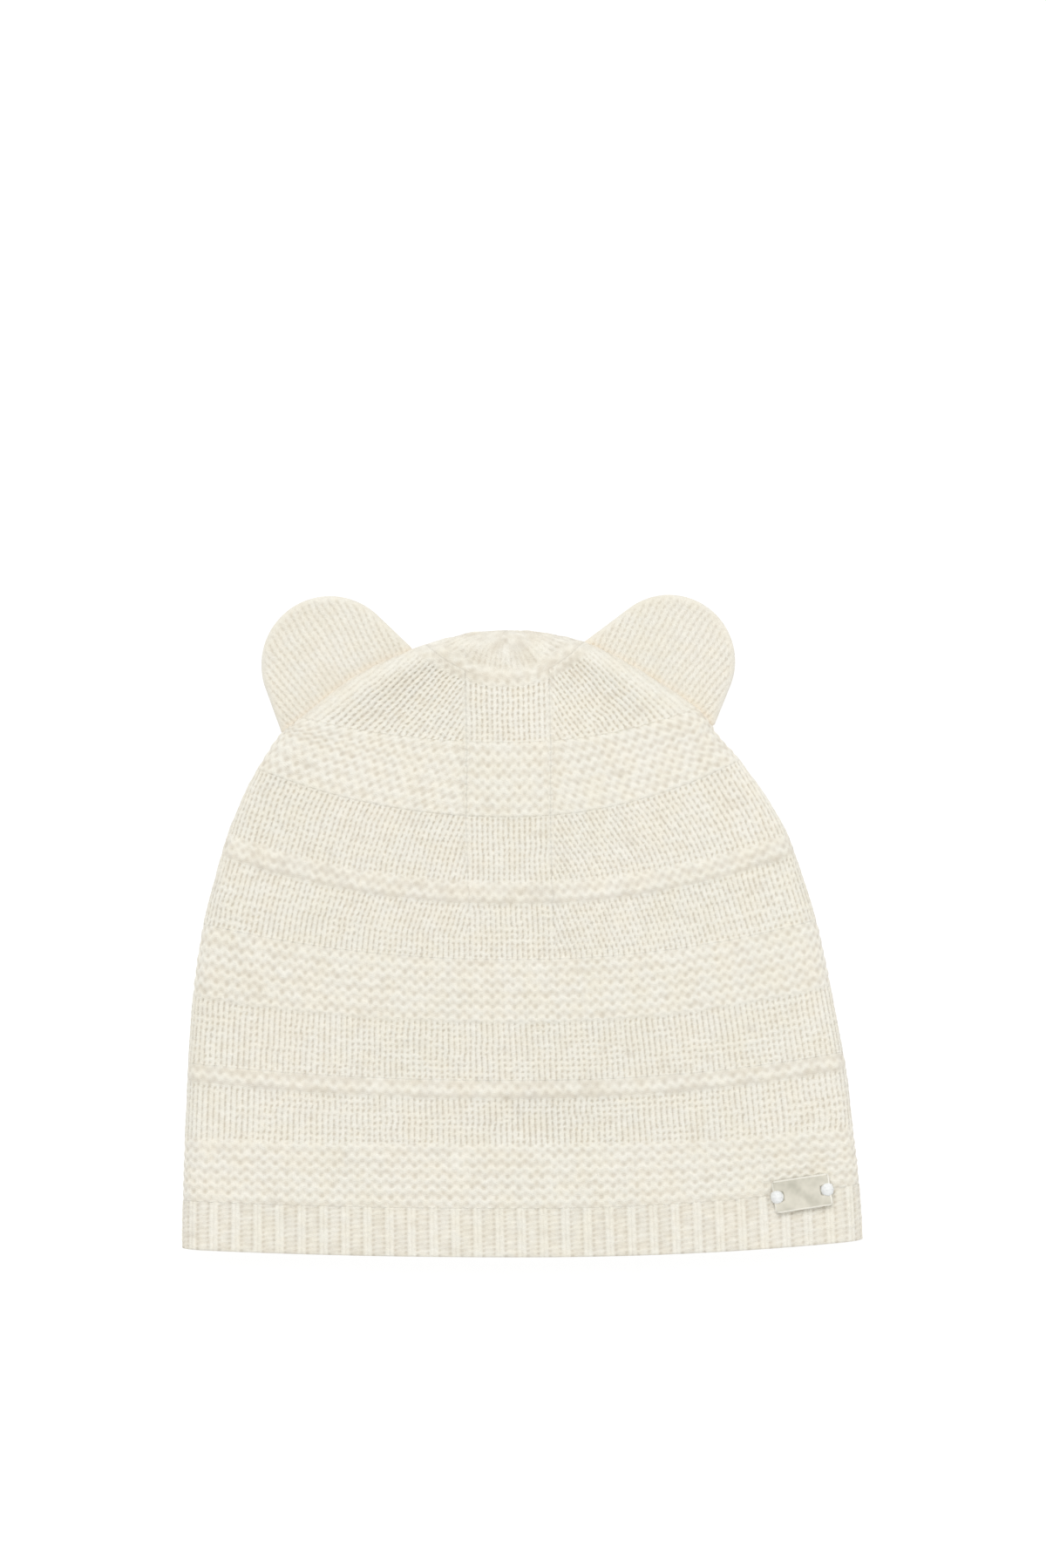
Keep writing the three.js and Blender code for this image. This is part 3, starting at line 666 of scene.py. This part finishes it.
def ear_rim(radius, shift, count):
    """Rim of an ear in its own plane, evenly spaced from the left root end to the right: a straight
    flank, the arc that it touches, and the other flank."""
    centre = np.array([shift, EAR_CENTRE])
    ends = []
    for side in (-1, 1):
        root = np.array([side * EAR_ROOT, 0.0])
        reach = root - centre
        angle = np.arctan2(reach[1], reach[0]) + side * np.arccos(radius / np.linalg.norm(reach))
        ends.append((root, angle))
    (left, first), (right, last) = ends
    if first < last:
        first += 2 * np.pi
    angles = np.linspace(first, last, 400)
    arc = centre + radius * np.stack([np.cos(angles), np.sin(angles)], 1)
    line = np.concatenate([[left], arc, [right]])
    run = np.concatenate([[0], np.cumsum(np.linalg.norm(np.diff(line, axis=0), axis=1))])
    even = np.linspace(0, run[-1], count + 1)
    return np.stack([np.interp(even, run, line[:, 0]), np.interp(even, run, line[:, 1])], 1)


def knit_ear(name, root_x, root_y, turn, radius, shift, finish):
    """An ear: a top and a bottom sheet that meet in a rounded rim. Each is a fan of lines from the
    rim to the crown fold, and droops from the fold's height at the root to the surface at its tip."""
    c, s = np.cos(np.radians(turn)), np.sin(np.radians(turn))
    turned = np.array([[c, s], [-s, c]])
    rim = ear_rim(radius, shift, EAR_ACROSS) @ turned + [root_x, root_y]
    ends = nearest(OUTLINE, rim[[0, -1], 0], rim[[0, -1], 1])[1]
    along = ends[0] + (ends[1] - ends[0]) * np.linspace(0, 1, EAR_ACROSS + 1)
    index = np.arange(len(OUTLINE))
    base = np.stack([np.interp(along, index, OUTLINE[:, 0]), np.interp(along, index, OUTLINE[:, 1])], 1)
    base -= np.stack(outward(along), 1) * EAR_SEAT
    rim[0], rim[-1] = base[0], base[-1]

    length = np.linalg.norm(rim - base, axis=1)
    round_edge = EAR_THICK / 2 * (1.0 - np.cos(np.linspace(0, np.pi / 2, EAR_RIM_STEPS)))
    insets = round_edge[:, None] * np.minimum(1.0, length / 10.0)[None, :]
    body = np.linspace(0, 1, EAR_ROWS + 1)[1:, None]
    stops = np.concatenate([insets, insets[-1] + (length - insets[-1]) * body])
    share = stops / np.maximum(length, 1e-9)
    flat = rim[None] + (base - rim)[None] * share[..., None]
    x, y = flat[..., 0], flat[..., 1]
    to_rim = nearest(rim, x, y)[0]
    to_rim[0] = 0.0
    inward = np.minimum(1.0, to_rim / (EAR_THICK / 2))
    half = EAR_THICK / 2 * np.sqrt(1.0 - (1.0 - inward) ** 2)
    from_crown = nearest(OUTLINE, x, y)[0]
    out = np.clip(from_crown / (radius + EAR_CENTRE), 0, 1)
    middle = EAR_ROOT_HEIGHT + (EAR_TIP_HEIGHT - EAR_ROOT_HEIGHT) * ease(out * 1.15)

    local_x = (x - root_x) * c + (y - root_y) * s
    local_y = -(x - root_x) * s + (y - root_y) * c
    wale = local_x / (EAR_WALE * (1.0 + 0.010 * local_y)) + 0.5
    course = (local_y + 6.0) / EAR_COURSE
    shown = ease((to_rim - 0.3) / 1.6)
    relief, _ = plain_stitch(wale + 0.05 * drawn(wale * 0.4 + 7, course * 0.5 + 3),
                             course + 0.08 * drawn(wale + 11, course * 0.6))
    relief = EAR_LEVEL + (relief * (1.0 + 0.1 * drawn(wale + 5, course + 31)) - EAR_LEVEL) * shown
    worked = np.minimum(1.0, half / (EAR_THICK / 2))
    top_z = middle + half + EAR_TOP_RELIEF * (relief - EAR_LEVEL) * worked
    bottom_z = middle - half + EAR_BACK_RELIEF * (1.0 - np.minimum(relief, 1.0)) * worked
    top, bottom = np.stack([x, y, top_z], -1), np.stack([x, y, bottom_z], -1)

    rows, columns = x.shape
    i, j = np.meshgrid(np.arange(rows - 1), np.arange(columns - 1), indexing="ij")
    here, further = i * columns + j, (i + 1) * columns + j
    quads = np.stack([here, further, further + 1, here + 1], -1).reshape(-1, 4)
    count = rows * columns
    seat = (rows - 1) * columns + np.arange(columns)
    seats = np.stack([seat[:-1], seat[:-1] + count, seat[1:] + count, seat[1:]], -1)
    faces = np.concatenate([quads, quads[:, ::-1] + count, seats])
    uv = np.tile(np.stack([wale, course], -1).reshape(-1, 2), (2, 1))
    # painted shade in the crease at the ear's root, fading within about a millimetre of the crown fold
    crease_shade = np.exp(-(from_crown / 1.3) ** 2).reshape(-1)
    # painted shade: the ear's colour darkens down in its gaps by the stitch relief
    worn = {"tone_and_shade": np.tile(0.34 + 0.42 * relief.reshape(-1), 2), "crease_shade": np.tile(crease_shade, 2)}
    points = np.concatenate([top.reshape(-1, 3), bottom.reshape(-1, 3)])
    piece = make_piece(name + "_knit", points, faces, finish, uv, worn, merge=True)
    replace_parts(piece, name)
    return piece


class Value:
    """One output of a finish's nodes, for writing its formulas."""

    def __init__(self, finish, socket):
        self.finish, self.socket = finish, socket

    def __add__(self, other):
        return self.finish.math("ADD", self, other)

    def __sub__(self, other):
        return self.finish.math("SUBTRACT", self, other)

    def __rsub__(self, other):
        return self.finish.math("SUBTRACT", other, self)

    def __mul__(self, other):
        return self.finish.math("MULTIPLY", self, other)

    __radd__ = __add__
    __rmul__ = __mul__


class Finish:
    """A material being written: nodes are added by kind, with their settings and inputs."""

    def __init__(self, name, **plain):
        self.material = bpy.data.materials.new(name)
        self.material.use_nodes = True
        self.tree = self.material.node_tree
        self.shader = self.tree.nodes["Principled BSDF"]
        for socket, value in plain.items():
            self.shader.inputs[socket.replace("_", " ")].default_value = value

    def node(self, kind, settings=None, inputs=None, output=0):
        """A new node with its settings, its inputs by name or number, and one of its outputs."""
        made = self.tree.nodes.new("ShaderNode" + kind)
        for key, value in (settings or {}).items():
            setattr(made, key, value)
        for key, value in (inputs or {}).items():
            if isinstance(value, Value):
                self.tree.links.new(value.socket, made.inputs[key])
            else:
                made.inputs[key].default_value = value
        return Value(self, made.outputs[output])

    def math(self, operation, first, second=0.0):
        """One number from two."""
        return self.node("Math", {"operation": operation}, {0: first, 1: second})

    def mix(self, factor, first, second, blend="MIX"):
        """One colour from two."""
        settings = {"data_type": "RGBA", "blend_type": blend}
        return self.node("Mix", settings, {0: factor, 6: first, 7: second}, 2)

    def step(self, value, low, high):
        """0 below low, 1 above high, eased between them."""
        inputs = {0: value, 1: low, 2: high, 3: 0.0, 4: 1.0}
        return self.node("MapRange", {"interpolation_type": "SMOOTHSTEP"}, inputs)

    def noise(self, where, scale, detail=2.0, roughness=0.5):
        """Cloudy noise, scale cells to the metre."""
        inputs = {"Vector": where, "Scale": scale, "Detail": detail, "Roughness": roughness}
        return self.node("TexNoise", {}, inputs)

    def end(self, **sockets):
        """Link what varies to the shader; gives the material."""
        for socket, value in sockets.items():
            self.tree.links.new(value.socket, self.shader.inputs[socket.replace("_", " ")])
        return self.material


def wool_finish(name, crest, gap_shade_colour, crease_shade):
    """Soft cream wool: painted shade, darker and warmer, down in the gaps, cloudy, fuzzy, with twisted
    plies.
    """
    wool = Finish(name, Roughness=0.95, Sheen_Weight=0.25, Sheen_Roughness=0.55, Specular_IOR_Level=0.2)
    place = wool.node("TexCoord", output=3)
    stitch = wool.node("UVMap", {"uv_map": "knit"})
    # the attribute read here is painted shade, low in the gaps and dents, with random variation
    relief = wool.node("Attribute", {"attribute_name": "tone_and_shade"}, output=2)
    crease_shade_mask = wool.node("Attribute", {"attribute_name": "crease_shade"}, output=2)

    # painted shade: from the gap colour up to the crest cream by that attribute
    colour = wool.mix(wool.step(relief, 0.1, 0.9), gap_shade_colour, crest)
    warm = wool.step(wool.noise(place, 170.0, 3.0, 0.6), 0.35, 0.65)
    colour = wool.mix(warm, colour, wool.mix(1.0, colour, (1.0, 0.985, 0.955, 1.0), "MULTIPLY"))
    cloud = wool.step(wool.noise(place, 45.0, 2.0, 0.5), 0.3, 0.7)
    colour = wool.mix(cloud, colour, wool.mix(1.0, colour, (0.985, 0.99, 0.985, 1.0), "MULTIPLY"))
    speck = wool.step(wool.noise(place, 620.0, 3.0, 0.7), 0.32, 0.68)
    colour = wool.mix(speck, wool.mix(1.0, colour, (0.94, 0.935, 0.925, 1.0), "MULTIPLY"), colour)
    # painted shade: a warm peach line in the crease where the ears are sewn on
    colour = wool.mix(crease_shade_mask * 0.22, colour, crease_shade)

    parts = wool.node("SeparateXYZ", inputs={0: stitch})
    wale, course = parts, Value(wool, parts.socket.node.outputs[1])
    twist = wool.math("SINE", (course * 3.0 + wool.math("PINGPONG", wale, 0.5) * 2.0) * 6.2832)
    fibres = wool.noise(place, 2600.0, 3.0, 0.65)
    fuzz = wool.noise(place, 900.0, 2.0, 0.5)
    height = twist * 0.12 + fibres * 0.7 + fuzz * 0.8
    bump = wool.node("Bump", {}, {"Strength": 0.55, "Distance": 0.00035, "Height": height})
    return wool.end(Base_Color=colour, Normal=bump)


def plate_finish():
    """Pale champagne metal, softly polished, a little cloudy from handling, its edge painted brighter as
    a highlight.
    The edge is where |u| or |v|, along and across the plate, comes near to half its size."""
    metal = Finish("pale_metal", Metallic=0.6, Specular_IOR_Level=0.5)
    place = metal.node("TexCoord", output=3)
    cloud = metal.noise(place, 110.0, 3.0, 0.6)
    drawn_out = metal.node("Mapping", {}, {"Vector": place, "Scale": (1.0, 14.0, 1.0)})
    grain = metal.noise(drawn_out, 500.0, 2.0)
    colour = metal.mix(metal.step(cloud, 0.35, 0.65), (0.45, 0.435, 0.36, 1.0), (0.66, 0.63, 0.54, 1.0))
    split = metal.node("SeparateXYZ", inputs={0: place})
    (middle_x, middle_y, _), turn = plate_middle(), np.radians(PLATE_TURN)
    x, y = split - middle_x, Value(metal, split.socket.node.outputs[1]) - middle_y
    u = metal.math("ABSOLUTE", x * np.cos(turn) + y * np.sin(turn))
    v = metal.math("ABSOLUTE", y * np.cos(turn) - x * np.sin(turn))
    past = metal.math("MAXIMUM", u - PLATE_LENGTH / 2 * MM, v - PLATE_HEIGHT / 2 * MM)
    # painted highlight: the plate's edge is mixed towards a bright white-gold
    edge = metal.step(past, -0.00045, -0.00025)
    colour = metal.mix(edge * 0.8, colour, (1.0, 0.98, 0.90, 1.0))
    rough = cloud * 0.14 + grain * 0.08 + 0.30
    bump = metal.node("Bump", {}, {"Strength": 0.12, "Distance": 0.0001, "Height": grain})
    return metal.end(Base_Color=colour, Roughness=rough, Normal=bump)


def thread_finish():
    """White sewing thread with a fine slanting twist."""
    thread = Finish("white_thread", Roughness=0.7, Sheen_Weight=0.3, Sheen_Roughness=0.5)
    place = thread.node("TexCoord", output=3)
    twist = thread.node("TexWave", {"bands_direction": "DIAGONAL"}, {"Vector": place, "Scale": 900.0}, 1)
    colour = thread.mix(thread.noise(place, 900.0), (0.79, 0.80, 0.79, 1.0), (0.90, 0.91, 0.90, 1.0))
    bump = thread.node("Bump", {}, {"Strength": 0.4, "Distance": 0.0001, "Height": twist})
    return thread.end(Base_Color=colour, Normal=bump)


def tube_along(paths, radius, sides=10):
    """Round strands: at each point of a path a ring of corners in the plane across it, and a tip at
    each end. paths is strands by points by 3; returns the corners, quads and triangles."""
    run = np.gradient(paths, axis=1)
    run /= np.linalg.norm(run, axis=-1, keepdims=True)
    across = np.cross(run, [0.0, 1.0, 0.0])
    across /= np.linalg.norm(across, axis=-1, keepdims=True)
    other = np.cross(across, run)
    angle = np.linspace(0, 2 * np.pi, sides, endpoint=False)
    ring = np.cos(angle)[:, None] * across[..., None, :] + np.sin(angle)[:, None] * other[..., None, :]
    strands, steps = paths.shape[:2]
    corners = (paths[:, :, None] + ring * radius).reshape(strands, steps * sides, 3)
    corners = np.concatenate([corners, paths[:, :1], paths[:, -1:]], 1)
    each = steps * sides + 2
    body = ring_faces(steps, sides, 0, True)
    first, last = np.arange(sides), (steps - 1) * sides + np.arange(sides)
    caps = np.concatenate([
        np.stack([first, np.roll(first, -1), np.full(sides, each - 2)], -1),
        np.stack([np.roll(last, -1), last, np.full(sides, each - 1)], -1),
    ])
    offset = (np.arange(strands) * each)[:, None, None]
    return corners.reshape(-1, 3), (body + offset).reshape(-1, 4), (caps + offset).reshape(-1, 3)


def sewn_tack(name, side, finish):
    """White stitches round one short end of the plate: a bunch of strands side by side, each up
    through the slot, over the end of the plate and down into the knit. A strand's height is that of
    the bunch times the square root of sin(pi t) along it, less towards the bunch's sides."""
    low, high = (np.array(corner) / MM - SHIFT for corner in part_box(name))
    middle = (low + high) / 2
    spread = np.linspace(-1, 1, STRANDS)[:, None]
    t = np.linspace(0, 1, STRAND_STEPS)[None, :]
    turn = np.radians(PLATE_TURN)
    inner, outer = -1.65 - 0.4 * (1.0 - spread ** 2), 1.1 + 0.3 * (1.0 - spread ** 2)
    x = side * (inner + (outer - inner) * t)
    y = spread * 1.55 * (0.72 + 0.28 * np.sin(np.pi * t)) + 0.06 * np.sin(11 * spread + 3 * t)
    lift = np.clip(np.sin(np.pi * t), 0, 1) ** 0.5
    z = (high[2] - low[2] - 0.25) * lift * (1.0 - 0.35 * spread ** 2) + 0.05 * np.cos(9 * spread)
    paths = np.stack([
        middle[0] + x * np.cos(turn) - y * np.sin(turn),
        middle[1] + x * np.sin(turn) + y * np.cos(turn),
        low[2] + z,
    ], -1)
    points, quads, caps = tube_along(paths, STRAND_RADIUS)
    piece = make_piece(name + "_strands", points, quads, finish, triangles=caps)
    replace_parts(piece, name)
    return piece


def plate_middle():
    """Middle of the plate's box in metres."""
    low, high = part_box("tag_plate")
    return (np.array(low) + np.array(high)) / 2


def place_light(name, where, aim, size, power):
    """A square soft light at a place in metres, facing a point."""
    lamp = bpy.data.lights.new(name, "AREA")
    lamp.size, lamp.energy = size, power
    light = bpy.data.objects.new(name, lamp)
    bpy.context.collection.objects.link(light)
    light.location = where
    direction = Vector(aim) - Vector(where)
    light.rotation_euler = direction.to_track_quat("-Z", "Y").to_euler()


def place_sun(name, strength, width, turn):
    """Light from far off, turned from straight down by angles about x and y."""
    sun = bpy.data.objects.new(name, bpy.data.lights.new(name, "SUN"))
    sun.data.energy, sun.data.angle = strength, width
    sun.rotation_euler = (*turn, 0.0)
    bpy.context.collection.objects.link(sun)


def studio():
    """White floor, soft light from the crown side, a weak low one from the right of the hem, and the
    camera straight overhead."""
    scene = bpy.context.scene
    scene.view_settings.view_transform = "Standard"
    floor_finish = Finish("white_floor", Roughness=0.9, Base_Color=(0.25, 0.25, 0.25, 1.0),
                          Emission_Color=WHITE, Emission_Strength=0.82, Specular_IOR_Level=0.0)
    mesh = bpy.data.meshes.new("floor")
    reach, level = 6.0, -0.0003
    mesh.from_pydata([(-reach, -reach, level), (reach, -reach, level), (reach, reach, level),
                      (-reach, reach, level)], [], [(0, 1, 2, 3)])
    floor = bpy.data.objects.new("floor", mesh)
    bpy.context.collection.objects.link(floor)
    mesh.materials.append(floor_finish.material)

    world = bpy.data.worlds.new("soft_room")
    scene.world = world
    world.use_nodes = True
    world.node_tree.nodes["Background"].inputs[0].default_value = WHITE
    world.node_tree.nodes["Background"].inputs[1].default_value = 0.62
    place_light("overhead", (0.0, 0.2, 2.6), (0, 0, 0), 2.0, 12.6)
    place_sun("crown_side", 1.12, 0.5, (-0.62, -0.22))
    place_sun("right_side", 0.4, 0.7, (0.5, 1.1))

    lens = bpy.data.cameras.new("camera")
    lens.lens, lens.sensor_width = 200.0, 36.0
    camera = bpy.data.objects.new("camera", lens)
    bpy.context.collection.objects.link(camera)
    camera.location = (0.0002, 0.03947, 2.4404)
    scene.camera = camera


studio()
WOOL = wool_finish("cream_wool", CREAM, GAP_SHADE_CREAM, CREASE_SHADE_PEACH)
THREAD = thread_finish()
METAL = plate_finish()

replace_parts(knit_tube("rib_knit", 0, 10, WOOL, hem=True), "rib_hem")
for name, low, high in [
    ("lower_knit", 10, 33), ("middle_knit", 33, 55), ("upper_knit", 55, 79),
    ("shoulder_knit", 79, 92), ("crown_knit", 92, FEET[-1]),
]:
    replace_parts(knit_tube(name, low, high, WOOL, closes=high == FEET[-1]), "crown")
for ear in EARS:
    knit_ear(*ear, WOOL)
sewn_tack("tack_left", -1, THREAD)
sewn_tack("tack_right", 1, THREAD)
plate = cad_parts["tag_plate"]
plate.data.materials.clear()
plate.data.materials.append(METAL)
